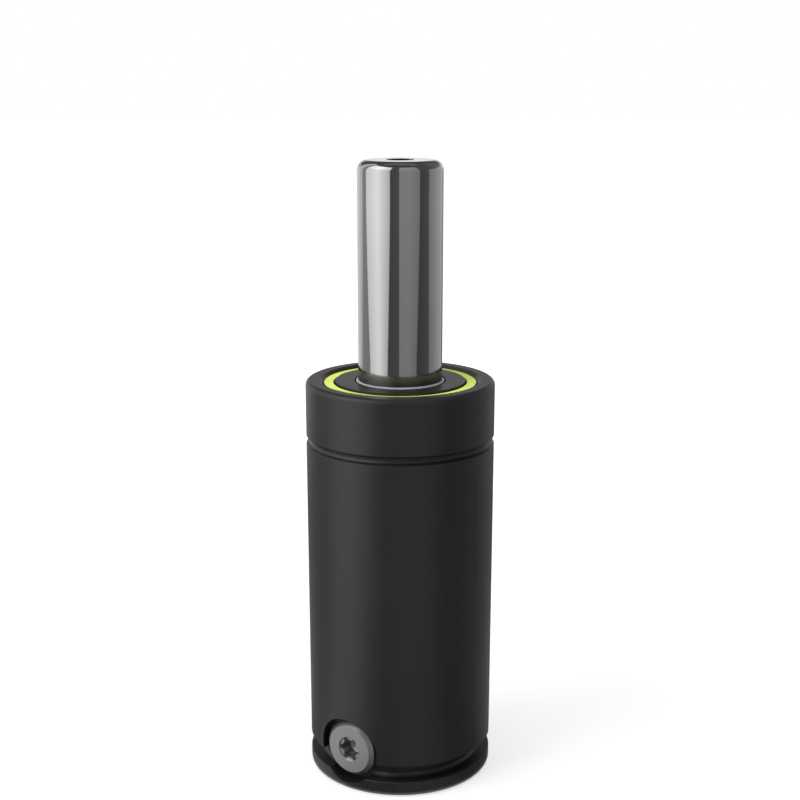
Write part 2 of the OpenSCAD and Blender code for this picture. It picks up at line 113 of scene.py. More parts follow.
class DieSpringThreads(bpy.types.PropertyGroup):
    """Sizes of the screw threads in the rod and the base, and of the valve's coil."""

    rod_pitch: length("Rod pitch", "Pitch of the pulling thread in the rod's top", 1.0 * MM)
    base_pitch: length("Base pitch", "Pitch of the fixing threads in the base", 1.25 * MM)
    sink: length("Countersink", "Depth from the face to the thread's first turn", 0.4 * MM)
    rod_length: length("Rod thread", "Length of the pulling thread", 10.5 * MM)
    base_end: length("Base thread end", "Height that the fixing threads reach in the base", 11.5 * MM)
    steps: IntProperty(
        name="Steps", description="Steps of each turn of a thread or coil", default=48, min=12
    )
    coil_wire: length("Coil wire", "Wire diameter of the valve's spring", 0.4 * MM)
    coil_turns: FloatProperty(
        name="Coil turns", description="Turns of the valve's spring", default=4.5, min=1.0
    )
    coil_gap: length("Coil gap", "Room left between the pressed coil and the pin's cap", 0.05 * MM)


class DieSpringFinishes(bpy.types.PropertyGroup):
    """Colours and reach of the finishes."""

    black: colour("Black finish", "Satin black of the cylinder", (0.0152, 0.0156, 0.0154))
    groove_height: length("Foot groove height", "Height of the groove over the foot", 4.15 * MM)
    groove_depth: length("Foot groove depth", "Depth of the groove over the foot", 3.6 * MM)
    pocket_r: length("Pocket radius", "Radius of the pocket that the port plug sits in", 8.25 * MM)
    chrome: colour("Chrome", "Polished rod", (0.66, 0.665, 0.66))
    guide: colour("Guide steel", "Dark steel of the guide", (0.014, 0.014, 0.0145))
    yellow: colour("Dust ring", "Yellow-green plastic of the dust ring", (0.78, 0.88, 0.14))
    # The dust ring's edges are darkened with painted shade
    dust_width: length("Dust ring width", "Width of the dust ring, whose edges are grimy", 2.48 * MM)
    wiper: colour("Wiper", "Grey polyurethane of the wiper", (0.36, 0.36, 0.385))
    # The wiper is darkened beyond its lip with painted shade
    lip_r: length("Lip radius", "Radius of the wiper's lip, beyond which dirt darkens it", 10.53 * MM)
    plug: colour("Plug steel", "Zinc-plated steel of the port plug", (0.5, 0.505, 0.495))
    # The plug's socket is filled with painted shade out to this radius
    socket_r: length("Socket reach", "Radius that the dark of the plug's socket fills", 3.25 * MM)
    steel: colour("Plain steel", "Drawn and turned steel", (0.4, 0.4, 0.41))
    bronze: colour("Bronze", "Sintered bush", (0.45, 0.26, 0.12))
    brass: colour("Brass", "Turned brass of the valve", (0.55, 0.38, 0.13))
    copper: colour("Copper", "Sealing washer", (0.5, 0.2, 0.1))
    red: colour("Rod seal", "Dark red polyurethane", (0.22, 0.02, 0.015))
    rubber: colour("Rubber", "Black rubber rings", (0.02, 0.02, 0.02))
    white: colour("Backup plastic", "Pale backup rings", (0.7, 0.68, 0.62))
    band: colour("Guide band", "Filled plastic of the guide band", (0.05, 0.06, 0.05))


class DieSpringStage(bpy.types.PropertyGroup):
    """Camera, lamps and floor."""

    view_turn: angle("View turn", "Turn of the camera from the port's side", 36.0)
    view_pitch: angle("View pitch", "Downward tilt of the camera", 16.272)
    distance: length("Distance", "Camera's distance from the rod's axis", 0.33605)
    height: length("Height", "Camera's height above the floor", 0.17254)
    focal: FloatProperty(name="Lens", description="Focal length in millimetres", default=64.746, min=1.0)
    shift_x: FloatProperty(name="Shift X", description="Sideways shift of the frame", default=-0.00026)
    shift_y: FloatProperty(name="Shift Y", description="Upward shift of the frame", default=0.09582)
    ambient: level("Ambient", "Light of the surroundings on the object", 0.35)
    key_power: level("Key lamp", "Power of the lamp at the front left", 3.5)
    top_power: level("Top lamp", "Power of the lamp overhead", 3.65)
    floor_tone: level("Floor tone", "Reflectance of the floor", 0.45)
    floor_lift: level("Floor lift", "Brightness added where the floor is seen near the object", 0.62)
    floor_far: level("Far floor", "Brightness added where the floor is seen far away", 1.0)


# Finishes

def skin_group():
    """The shared surface effect: turning lines round the axis, fine grain and broad smudges."""
    name = "machined_skin"
    if name in bpy.data.node_groups:
        return bpy.data.node_groups[name]
    group = bpy.data.node_groups.new(name, "ShaderNodeTree")
    group.interface.new_socket(name="Vector", in_out="INPUT", socket_type="NodeSocketVector")
    for label in ("Line Scale", "Grain Scale", "Smudge Scale", "Line Share"):
        group.interface.new_socket(name=label, in_out="INPUT", socket_type="NodeSocketFloat")
    for label in ("Tone", "Gloss", "Height"):
        group.interface.new_socket(name=label, in_out="OUTPUT", socket_type="NodeSocketFloat")
    node, link = group.nodes.new, group.links.new
    source = node("NodeGroupInput")
    target = node("NodeGroupOutput")
    split = node("ShaderNodeSeparateXYZ")
    flat = node("ShaderNodeVectorMath")
    flat.operation = "MULTIPLY"
    flat.inputs[1].default_value = (1.0, 1.0, 0.0)
    reach = node("ShaderNodeVectorMath")
    reach.operation = "LENGTH"
    path = node("ShaderNodeMath")
    path.operation = "MULTIPLY_ADD"
    path.inputs[1].default_value = PATH_RISE
    lines = node("ShaderNodeTexNoise")
    lines.noise_dimensions = "1D"
    lines.inputs["Detail"].default_value = 3.0
    grain = node("ShaderNodeTexNoise")
    grain.inputs["Detail"].default_value = 3.0
    smudge = node("ShaderNodeTexNoise")
    smudge.inputs["Detail"].default_value = 2.0
    link(source.outputs["Vector"], split.inputs[0])
    link(source.outputs["Vector"], flat.inputs[0])
    link(flat.outputs["Vector"], reach.inputs[0])
    link(split.outputs["Z"], path.inputs[0])
    link(reach.outputs["Value"], path.inputs[2])
    link(path.outputs[0], lines.inputs["W"])
    link(source.outputs["Line Scale"], lines.inputs["Scale"])
    for texture, label in ((grain, "Grain Scale"), (smudge, "Smudge Scale")):
        link(source.outputs["Vector"], texture.inputs["Vector"])
        link(source.outputs[label], texture.inputs["Scale"])

    def blend(share, first, second):
        mix = node("ShaderNodeMix")
        mix.data_type = "FLOAT"
        if isinstance(share, float):
            mix.inputs["Factor"].default_value = share
        else:
            link(share, mix.inputs["Factor"])
        link(first, mix.inputs["A"])
        link(second, mix.inputs["B"])
        return mix.outputs["Result"]

    texture = blend(source.outputs["Line Share"], grain.outputs["Fac"], lines.outputs["Fac"])
    tone = blend(0.5, smudge.outputs["Fac"], texture)
    gloss = blend(0.4, smudge.outputs["Fac"], texture)
    link(tone, target.inputs["Tone"])
    link(gloss, target.inputs["Gloss"])
    link(texture, target.inputs["Height"])
    return group


def ring_mask(tree, place, zone):
    """A mask that is 1 within the zone's ring between its heights and fades out over its soft edge."""
    half_height = (zone.high - zone.low) / 2
    node, link = tree.nodes.new, tree.links.new
    flat = node("ShaderNodeVectorMath")
    flat.operation = "MULTIPLY"
    flat.inputs[1].default_value = (1.0, 1.0, 0.0)
    reach = node("ShaderNodeVectorMath")
    reach.operation = "LENGTH"
    inside = node("ShaderNodeMath")
    inside.operation = "COMPARE"
    inside.inputs[1].default_value = zone.radius
    inside.inputs[2].default_value = zone.half_width
    split = node("ShaderNodeSeparateXYZ")
    offset = node("ShaderNodeMath")
    offset.operation = "SUBTRACT"
    offset.inputs[1].default_value = (zone.low + zone.high) / 2
    away = node("ShaderNodeMath")
    away.operation = "ABSOLUTE"
    depth = node("ShaderNodeMapRange")
    depth.inputs["From Min"].default_value = half_height + zone.soft
    depth.inputs["From Max"].default_value = half_height
    both = node("ShaderNodeMath")
    both.operation = "MULTIPLY"
    link(place, flat.inputs[0])
    link(flat.outputs["Vector"], reach.inputs[0])
    link(reach.outputs["Value"], inside.inputs[0])
    link(place, split.inputs[0])
    link(split.outputs["Z"], offset.inputs[0])
    link(offset.outputs[0], away.inputs[0])
    link(away.outputs[0], depth.inputs["Value"])
    link(inside.outputs[0], both.inputs[0])
    link(depth.outputs["Result"], both.inputs[1])
    return both.outputs[0]


def port_place(tree, place):
    """Object coordinates moved and turned so that the port's axis becomes the Z axis."""
    turn = tree.nodes.new("ShaderNodeMapping")
    turn.inputs["Location"].default_value = (0.0, PORT_Z, 0.0)
    turn.inputs["Rotation"].default_value = (pi / 2, 0.0, 0.0)
    tree.links.new(place, turn.inputs["Vector"])
    return turn.outputs["Vector"]


def skin_material(
    name, base, *, metallic, rough, variation, marks, bump,
    port_axis=False, shades=(), port_shades=(), dull=None, ior=1.5
):
    """A finish: its colour, roughness range, colour variation, mark scales and bump depth.

    A shade zone paints shade or light into the colour: it brings the colour to a share of it, darker
    below one and lighter above. A dull zone is roughened by its share. The zones lie round the rod's
    axis, or round the port's axis for a finish of the port and for port shades.
    """
    if name in bpy.data.materials:
        return bpy.data.materials[name]
    material = bpy.data.materials.new(name)
    material.use_nodes = True
    tree = material.node_tree
    node, link = tree.nodes.new, tree.links.new
    shader = tree.nodes["Principled BSDF"]
    shader.inputs["Metallic"].default_value = metallic
    shader.inputs["IOR"].default_value = ior
    place = node("ShaderNodeTexCoord").outputs["Object"]
    if port_axis:
        place = port_place(tree, place)
    skin = node("ShaderNodeGroup")
    skin.node_tree = skin_group()
    for label, value in zip(("Line Scale", "Grain Scale", "Smudge Scale", "Line Share"), marks):
        skin.inputs[label].default_value = value
    link(place, skin.inputs["Vector"])

    def spread(source, low, high):
        span = node("ShaderNodeMapRange")
        span.inputs["From Min"].default_value = NOISE_SPAN[0]
        span.inputs["From Max"].default_value = NOISE_SPAN[1]
        span.inputs["To Min"].default_value = low
        span.inputs["To Max"].default_value = high
        link(source, span.inputs["Value"])
        return span.outputs["Result"]

    tint = node("ShaderNodeMix")
    tint.data_type = "RGBA"
    tint.inputs["A"].default_value = (*(part * (1.0 - variation) for part in base), 1.0)
    tint.inputs["B"].default_value = (*(min(1.0, part * (1.0 + variation)) for part in base), 1.0)
    link(spread(skin.outputs["Tone"], 0.0, 1.0), tint.inputs["Factor"])
    body = tint.outputs["Result"]
    zones = [(place, shade) for shade in shades]
    if port_shades:
        port = port_place(tree, place)
        zones += [(port, shade) for shade in port_shades]
    # Paint each zone's shade or light over the colour
    for origin, shade in zones:
        painted_light_mix = node("ShaderNodeMix")
        painted_light_mix.data_type = "RGBA"
        painted_light_mix.inputs["B"].default_value = (*(shade.share * part for part in base), 1.0)
        link(ring_mask(tree, origin, shade), painted_light_mix.inputs["Factor"])
        link(body, painted_light_mix.inputs["A"])
        body = painted_light_mix.outputs["Result"]
    link(body, shader.inputs["Base Color"])
    gloss = spread(skin.outputs["Gloss"], *rough)
    if dull:
        haze = node("ShaderNodeMath")
        haze.operation = "MULTIPLY_ADD"
        haze.inputs[1].default_value = dull.share
        link(ring_mask(tree, place, dull), haze.inputs[0])
        link(gloss, haze.inputs[2])
        gloss = haze.outputs[0]
    link(gloss, shader.inputs["Roughness"])
    relief = node("ShaderNodeBump")
    relief.inputs["Strength"].default_value = 1.0
    relief.inputs["Distance"].default_value = bump
    link(skin.outputs["Height"], relief.inputs["Height"])
    link(relief.outputs["Normal"], shader.inputs["Normal"])
    return material


def dress(nodes, material):
    """Gives the finish to CAD nodes."""
    for name in nodes:
        mesh = frame["nodes"][name].data
        mesh.materials.clear()
        mesh.materials.append(material)


def black_finish(finishes):
    """Satin black over a turned cylinder, with painted highlight and shade in its grooves and the plug's
    pocket.
    """
    body_r = MOUNTS["body_side"]["dims"]["r_mm"] * MM
    clamp_z = MOUNTS["clamp_groove"]["pos_m"][2]
    ledge_z = MOUNTS["foot_groove"]["pos_m"][2] - finishes.groove_height / 2
    # Painted highlight: a pale line deep in the clamp groove
    clamp_painted_highlight = Zone(
        share=2.8, radius=body_r - 0.85 * MM, half_width=0.3 * MM,
        low=clamp_z - 0.15 * MM, high=clamp_z + 0.2 * MM, soft=0.25 * MM
    )
    # Painted shade on the lower flank of the clamp groove
    clamp_painted_shade = Zone(
        share=0.55, radius=body_r - 0.45 * MM, half_width=0.42 * MM,
        low=clamp_z - 0.95 * MM, high=clamp_z - 0.6 * MM, soft=0.15 * MM
    )
    # Painted highlight in the inner corner of the groove over the foot
    corner_painted_highlight = Zone(
        share=2.6, radius=body_r - finishes.groove_depth + 0.45 * MM, half_width=0.5 * MM,
        low=ledge_z + 0.05 * MM, high=ledge_z + 0.5 * MM, soft=0.3 * MM
    )
    # Painted shade on the ledge of the groove over the foot
    ledge_painted_shade = Zone(
        share=0.75, radius=body_r - 1.4 * MM, half_width=1.35 * MM,
        low=ledge_z - 0.02 * MM, high=ledge_z + 0.02 * MM, soft=0.02 * MM
    )
    # Painted shade on the wall of the pocket round the port plug
    pocket_painted_shade = Zone(
        share=0.42, radius=finishes.pocket_r, half_width=0.06 * MM,
        low=-body_r, high=-body_r + 8 * MM, soft=0.02 * MM
    )
    return skin_material(
        "satin_black", finishes.black, metallic=0.0, rough=(0.35, 0.41), variation=0.12,
        marks=(9000.0, 5200.0, 60.0, 0.25), bump=0.6e-6,
        shades=(clamp_painted_highlight, clamp_painted_shade, corner_painted_highlight, ledge_painted_shade), port_shades=(pocket_painted_shade,), ior=1.65
    )


def chrome_finish(finishes):
    """Ground and polished chrome, with painted shade in its hole and in a roughened band above the
    wiper.
    """
    hole = MOUNTS["rod_thread"]["dims"]
    # Painted shade inside the rod's threaded hole
    hole_painted_shade = Zone(
        share=0.025, radius=0.0, half_width=(hole["r_mm"] + 0.3) * MM,
        low=ROD_TOP - (hole["length_mm"] + 1) * MM, high=ROD_TOP - 0.15 * MM, soft=0.13 * MM
    )
    # Painted shade in a band just above the wiper, dimming the rod's mirrored dust ring; the same band
    # is roughened as a film of oil that the wiper leaves
    oil_film_and_shade = Zone(
        share=0.38, radius=ROD_R, half_width=0.1 * MM,
        low=WIPER_TOP - 1 * MM, high=WIPER_TOP + 2.2 * MM, soft=0.4 * MM
    )
    return skin_material(
        "polished_chrome", finishes.chrome, metallic=1.0, rough=(0.05, 0.085), variation=0.02,
        marks=(16000.0, 9000.0, 45.0, 0.85), bump=0.03e-6,
        shades=(hole_painted_shade, oil_film_and_shade), dull=oil_film_and_shade._replace(share=0.25)
    )


def dust_ring_finish(finishes):
    """Yellow-green plastic with painted shade along its edges, where it meets the guide and the
    cylinder's mouth.
    """
    ring_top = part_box("dust_ring")[1]
    # Painted shade along the ring's inner and outer edges, in the creases beside the guide and the
    # cylinder's mouth
    inner_edge_shade = Zone(
        share=0.12, radius=ring_top.x - finishes.dust_width, half_width=0.25 * MM,
        low=ring_top.z - 2 * MM, high=ring_top.z, soft=0.05 * MM
    )
    outer_edge_shade = inner_edge_shade._replace(radius=ring_top.x, half_width=0.13 * MM)
    return skin_material(
        "dust_ring_plastic", finishes.yellow, metallic=0.0, rough=(0.36, 0.46), variation=0.05,
        marks=(5000.0, 6000.0, 220.0, 0.3), bump=1.2e-6, shades=(inner_edge_shade, outer_edge_shade)
    )


def wiper_finish(finishes):
    """Grey polyurethane, with painted shade below and beyond its lip, in the gap round it."""
    # Painted shade on the wiper below and beyond its lip, in the gap between it and the guide
    lip_gap_shade = Zone(
        share=0.025, radius=finishes.lip_r + 3 * MM, half_width=3 * MM,
        low=WIPER_TOP - 9 * MM, high=WIPER_TOP - 0.05 * MM, soft=0.05 * MM
    )
    return skin_material(
        "wiper_polyurethane", finishes.wiper, metallic=0.0, rough=(0.38, 0.5), variation=0.08,
        marks=(6000.0, 5000.0, 300.0, 0.4), bump=1.5e-6, shades=(lip_gap_shade,)
    )


def plug_finish(finishes):
    """Zinc-plated steel, with painted shade inside its socket."""
    face_y = PORT_BOX[0].y
    # Painted shade inside the plug's socket
    socket_painted_shade = Zone(
        share=0.025, radius=0.0, half_width=finishes.socket_r,
        low=face_y + 0.25 * MM, high=face_y + 6 * MM, soft=0.22 * MM
    )
    return skin_material(
        "plug_steel", finishes.plug, metallic=1.0, rough=(0.09, 0.13), variation=0.08,
        marks=(9000.0, 7000.0, 260.0, 0.7), bump=0.5e-6, port_axis=True, shades=(socket_painted_shade,)
    )


def steel_finish(finishes):
    """Turned steel of the rings and the collar."""
    return skin_material(
        "turned_steel", finishes.steel, metallic=1.0, rough=(0.22, 0.34), variation=0.08,
        marks=(12000.0, 8000.0, 150.0, 0.7), bump=0.6e-6
    )


def pin_finish(finishes):
    """Drawn steel of the valve's pin and spring."""
    return skin_material(
        "pin_steel", finishes.steel, metallic=1.0, rough=(0.2, 0.32), variation=0.08,
        marks=(14000.0, 9000.0, 300.0, 0.75), bump=0.5e-6, port_axis=True
    )


class DIESPRING_OT_finish_cylinder(bpy.types.Operator):
    """Coats the cylinder in satin black"""

    bl_idname = "die_spring.finish_cylinder"
    bl_label = "Finish cylinder"

    def execute(self, context):
        dress(("cylinder_body",), black_finish(context.scene.die_spring_finishes))
        return {"FINISHED"}


class DIESPRING_OT_finish_rod(bpy.types.Operator):
    """Polishes the rod and finishes the collar and the guide band at its lower end"""

    bl_idname = "die_spring.finish_rod"
    bl_label = "Finish rod"

    def execute(self, context):
        finishes = context.scene.die_spring_finishes
        dress(("piston_rod",), chrome_finish(finishes))
        band = skin_material(
            "filled_plastic", finishes.band, metallic=0.0, rough=(0.45, 0.6), variation=0.3,
            marks=(6000.0, 3000.0, 250.0, 0.3), bump=3e-6
        )
        dress(("piston_guide_band",), band)
        dress(("stop_collar_front", "stop_collar_back"), steel_finish(finishes))
        return {"FINISHED"}


class DIESPRING_OT_finish_guide(bpy.types.Operator):
    """Finishes the guide, its bush, its retaining ring and the seal's washer"""

    bl_idname = "die_spring.finish_guide"
    bl_label = "Finish guide"

    def execute(self, context):
        finishes = context.scene.die_spring_finishes
        dark = skin_material(
            "dark_guide_steel", finishes.guide, metallic=0.0, rough=(0.3, 0.38), variation=0.15,
            marks=(7000.0, 6000.0, 90.0, 0.6), bump=0.8e-6
        )
        bronze = skin_material(
            "sintered_bronze", finishes.bronze, metallic=1.0, rough=(0.3, 0.5), variation=0.25,
            marks=(9000.0, 4500.0, 200.0, 0.35), bump=2e-6
        )
        dress(("guide_housing",), dark)
        dress(("guide_bush",), bronze)
        dress(("retaining_ring", "seal_retainer"), steel_finish(finishes))
        return {"FINISHED"}


class DIESPRING_OT_finish_seals(bpy.types.Operator):
    """Finishes the dust ring, the wiper, the rod seal and the sealing rings"""

    bl_idname = "die_spring.finish_seals"
    bl_label = "Finish seals"

    def execute(self, context):
        finishes = context.scene.die_spring_finishes
        red = skin_material(
            "seal_polyurethane", finishes.red, metallic=0.0, rough=(0.35, 0.48), variation=0.12,
            marks=(5000.0, 4000.0, 250.0, 0.3), bump=1.5e-6
        )
        rubber = skin_material(
            "ring_rubber", finishes.rubber, metallic=0.0, rough=(0.5, 0.65), variation=0.2,
            marks=(5000.0, 4000.0, 300.0, 0.1), bump=2e-6
        )
        white = skin_material(
            "backup_plastic", finishes.white, metallic=0.0, rough=(0.4, 0.55), variation=0.06,
            marks=(7000.0, 4000.0, 250.0, 0.5), bump=1.5e-6
        )
        dress(("dust_ring",), dust_ring_finish(finishes))
        dress(("rod_wiper",), wiper_finish(finishes))
        dress(("rod_seal",), red)
        dress(("seal_energiser", "guide_o_ring", "valve_body_seal", "valve_pin_seal"), rubber)
        dress(("seal_backup_ring", "guide_backup_ring"), white)
        return {"FINISHED"}


class DIESPRING_OT_finish_port(bpy.types.Operator):
    """Finishes the port plug, its washer and the charging valve"""

    bl_idname = "die_spring.finish_port"
    bl_label = "Finish port"

    def execute(self, context):
        finishes = context.scene.die_spring_finishes
        copper = skin_material(
            "washer_copper", finishes.copper, metallic=1.0, rough=(0.25, 0.4), variation=0.15,
            marks=(9000.0, 6000.0, 300.0, 0.6), bump=1e-6, port_axis=True
        )
        brass = skin_material(
            "valve_brass", finishes.brass, metallic=1.0, rough=(0.2, 0.3), variation=0.08,
            marks=(12000.0, 8000.0, 300.0, 0.75), bump=0.6e-6, port_axis=True
        )
        dress(("port_plug",), plug_finish(finishes))
        dress(("port_plug_seal",), copper)
        dress(("valve_body", "valve_pin_cap"), brass)
        dress(("valve_pin", "valve_spring"), pin_finish(finishes))
        return {"FINISHED"}


# Threads and coil

# Sizes of a thread's ridge as shares of its pitch, and how far the ridge sinks into the wall
RIDGE_DEPTH = 0.541
RIDGE_ROOT = 0.4375
RIDGE_CREST = 0.125
RIDGE_SINK = 0.02 * MM


def piece_from(bm, name, material):
    """Turns a finished bmesh into an object that sits at the origin."""
    bmesh.ops.remove_doubles(bm, verts=bm.verts, dist=1e-7)
    bmesh.ops.recalc_face_normals(bm, faces=bm.faces)
    mesh = bpy.data.meshes.new(name)
    bm.to_mesh(mesh)
    bm.free()
    mesh.materials.append(material)
    piece = bpy.data.objects.new(name, mesh)
    bpy.context.scene.collection.objects.link(piece)
    return piece


def cut_thread(bm, centre, wall_r, pitch, low_z, high_z, steps):
    """The standing ridge of an inside thread, wound up along Z and run out at both ends."""
    depth = RIDGE_DEPTH * pitch
    root = RIDGE_ROOT * pitch
    crest = RIDGE_CREST * pitch
    sunk_r = wall_r + RIDGE_SINK
    crest_r = wall_r - depth
    section = [
        bm.verts.new((centre[0] + reach, centre[1], low_z + root + rise))
        for reach, rise in ((sunk_r, -root), (crest_r, -crest), (crest_r, crest), (sunk_r, root))
    ]
    edges = [bm.edges.new((section[i - 1], section[i])) for i in range(4)]
    count = int((high_z - low_z - 2 * root) / pitch * steps)
    bmesh.ops.spin(
        bm, geom=section + edges, cent=(centre[0], centre[1], 0.0), axis=(0.0, 0.0, 1.0),
        dvec=(0.0, 0.0, pitch / steps), angle=tau * count / steps, steps=count, use_merge=False
    )
    bmesh.ops.holes_fill(bm, edges=[edge for edge in bm.edges if edge.is_boundary], sides=4)
    run_out = steps / 2
    for vert in bm.verts:
        away = Vector((vert.co.x - centre[0], vert.co.y - centre[1]))
        if away.length < wall_r:
            step = (vert.co.z - low_z - root) / pitch * steps
            share = max(0.0, min(1.0, step / run_out, (count - step) / run_out))
            away *= (wall_r - depth * share) / away.length
            vert.co.x = centre[0] + away.x
            vert.co.y = centre[1] + away.y


class DIESPRING_OT_rod_thread(bpy.types.Operator):
    """Cuts the pulling thread in the rod's top"""

    bl_idname = "die_spring.rod_thread"
    bl_label = "Cut rod thread"

    def execute(self, context):
        threads = context.scene.die_spring_threads
        wall_r = MOUNTS["rod_thread"]["dims"]["r_mm"] * MM
        high_z = ROD_TOP - threads.sink
        bm = bmesh.new()
        cut_thread(
            bm, (0.0, 0.0), wall_r, threads.rod_pitch, high_z - threads.rod_length, high_z, threads.steps
        )
        thread = piece_from(bm, "rod_thread_ridge", chrome_finish(context.scene.die_spring_finishes))
        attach(thread, "rod")
        return {"FINISHED"}


class DIESPRING_OT_base_threads(bpy.types.Operator):
    """Cuts the fixing threads in the base"""

    bl_idname = "die_spring.base_threads"
    bl_label = "Cut base threads"

    def execute(self, context):
        threads = context.scene.die_spring_threads
        dims = MOUNTS["base_bolts"]["dims"]
        wall_r = dims["hole_r_mm"] * MM
        reach = dims["pcd_mm"] * MM / 2
        for side, name in ((-1, "base_thread_ridge_left"), (1, "base_thread_ridge_right")):
            bm = bmesh.new()
            cut_thread(
                bm, (side * reach, 0.0), wall_r, threads.base_pitch, threads.sink, threads.base_end,
                threads.steps
            )
            thread = piece_from(bm, name, black_finish(context.scene.die_spring_finishes))
            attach(thread, "cylinder")
        return {"FINISHED"}


class DIESPRING_OT_valve_coil(bpy.types.Operator):
    """Winds the valve's spring in place of the plain one"""

    bl_idname = "die_spring.valve_coil"
    bl_label = "Wind valve spring"

    def execute(self, context):
        sizes = context.scene.die_spring_threads
        outer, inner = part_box("valve_spring")
        wire_r = sizes.coil_wire / 2
        count = int(sizes.coil_turns * sizes.steps)
        advance = (inner.y - outer.y - sizes.coil_wire) / count
        start = (inner.x - wire_r, inner.y - wire_r, PORT_Z)
        bm = bmesh.new()
        sides = 16
        bmesh.ops.create_circle(bm, segments=sides, radius=wire_r, matrix=Matrix.Translation(start))
        bmesh.ops.spin(
            bm, geom=bm.verts[:] + bm.edges[:], cent=(0.0, 0.0, PORT_Z), axis=(0.0, -1.0, 0.0),
            dvec=(0.0, -advance, 0.0), angle=tau * sizes.coil_turns, steps=count, use_merge=False
        )
        bmesh.ops.holes_fill(bm, edges=[edge for edge in bm.edges if edge.is_boundary], sides=sides)
        coil = piece_from(bm, "valve_spring_coil", pin_finish(context.scene.die_spring_finishes))
        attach(coil, "cylinder")
        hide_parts("valve_spring")
        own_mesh(coil)
        return {"FINISHED"}


# Stage

FLOOR_R = 4.0
# Distances between which the floor's lift grows to its far value
FLOOR_FADE = (0.08, 0.5)
# The lamps, in metres and from the camera's turn
KEY_TURN = radians(-60)
KEY_REACH = 0.55
KEY_HEIGHT = 0.6
KEY_SIZE = 0.45
KEY_AIM = (0.0, 0.0, 0.08)
TOP_HEIGHT = 0.85
TOP_SIZE = 0.6


def seen_share(tree):
    """The Light Path share of rays that show the surroundings: camera, glossy and transmission rays."""
    path = tree.nodes.new("ShaderNodeLightPath")
    total = path.outputs["Is Camera Ray"]
    for label in ("Is Glossy Ray", "Is Transmission Ray"):
        add = tree.nodes.new("ShaderNodeMath")
        add.operation = "ADD"
        add.use_clamp = True
        tree.links.new(total, add.inputs[0])
        tree.links.new(path.outputs[label], add.inputs[1])
        total = add.outputs[0]
    return total


def light_world(stage):
    """White surroundings where they are seen or mirrored, and dimmer ones as a light."""
    world = bpy.data.worlds.new("white_surroundings")
    world.use_nodes = True
    tree = world.node_tree
    dim = tree.nodes["Background"]
    dim.inputs["Color"].default_value = (1.0, 1.0, 1.0, 1.0)
    dim.inputs["Strength"].default_value = stage.ambient
    white = tree.nodes.new("ShaderNodeBackground")
    white.inputs["Color"].default_value = (1.0, 1.0, 1.0, 1.0)
    white.inputs["Strength"].default_value = 1.0
    choose = tree.nodes.new("ShaderNodeMixShader")
    tree.links.new(seen_share(tree), choose.inputs["Fac"])
    tree.links.new(dim.outputs[0], choose.inputs[1])
    tree.links.new(white.outputs[0], choose.inputs[2])
    tree.links.new(choose.outputs[0], tree.nodes["World Output"].inputs["Surface"])
    bpy.context.scene.world = world


def floor_material(stage):
    """Pale floor, white where it is seen, that keeps the object's shadow and is open from below."""
    material = bpy.data.materials.new("pale_floor")
    material.use_nodes = True
    tree = material.node_tree
    tree.nodes.remove(tree.nodes["Principled BSDF"])
    matt = tree.nodes.new("ShaderNodeBsdfDiffuse")
    matt.inputs["Color"].default_value = (stage.floor_tone, stage.floor_tone, stage.floor_tone, 1.0)
    lift = tree.nodes.new("ShaderNodeEmission")
    scale = tree.nodes.new("ShaderNodeMath")
    scale.operation = "MULTIPLY"
    away = tree.nodes.new("ShaderNodeVectorMath")
    away.operation = "LENGTH"
    fade = tree.nodes.new("ShaderNodeMapRange")
    fade.inputs["From Min"].default_value = FLOOR_FADE[0]
    fade.inputs["From Max"].default_value = FLOOR_FADE[1]
    fade.inputs["To Min"].default_value = stage.floor_lift
    fade.inputs["To Max"].default_value = stage.floor_far
    both = tree.nodes.new("ShaderNodeAddShader")
    clear = tree.nodes.new("ShaderNodeBsdfTransparent")
    side = tree.nodes.new("ShaderNodeNewGeometry")
    choose = tree.nodes.new("ShaderNodeMixShader")
    link = tree.links.new
    link(tree.nodes.new("ShaderNodeTexCoord").outputs["Object"], away.inputs[0])
    link(away.outputs["Value"], fade.inputs["Value"])
    link(seen_share(tree), scale.inputs[0])
    link(fade.outputs["Result"], scale.inputs[1])
    link(scale.outputs[0], lift.inputs["Strength"])
    link(matt.outputs[0], both.inputs[0])
    link(lift.outputs[0], both.inputs[1])
    link(side.outputs["Backfacing"], choose.inputs["Fac"])
    link(both.outputs[0], choose.inputs[1])
    link(clear.outputs[0], choose.inputs[2])
    link(choose.outputs[0], tree.nodes["Material Output"].inputs["Surface"])
    return material


# The cards that the metal mirrors lie on the floor from the foot outwards and rise far away as a wall.
# Their distances from the axis, their height over the floor, and their shares of brightness far away
CARD_REACH = (0.0232, 0.03, 0.05, 0.09, 0.17, 0.3, 0.36, 0.5, 1.4, 3.0)
CARD_LIFT = 0.0005
FAR_SHARES = (0.86, 0.87, 1.0, 1.0)


def card_section(near, *wall):
    """Distance, height and brightness share along a card, from near the object up its wall."""
    floor = [(reach, CARD_LIFT, share) for reach, share in zip(CARD_REACH, (*near, *FAR_SHARES))]
    return (*floor, *((CARD_REACH[-1], rise, share) for rise, share in wall))


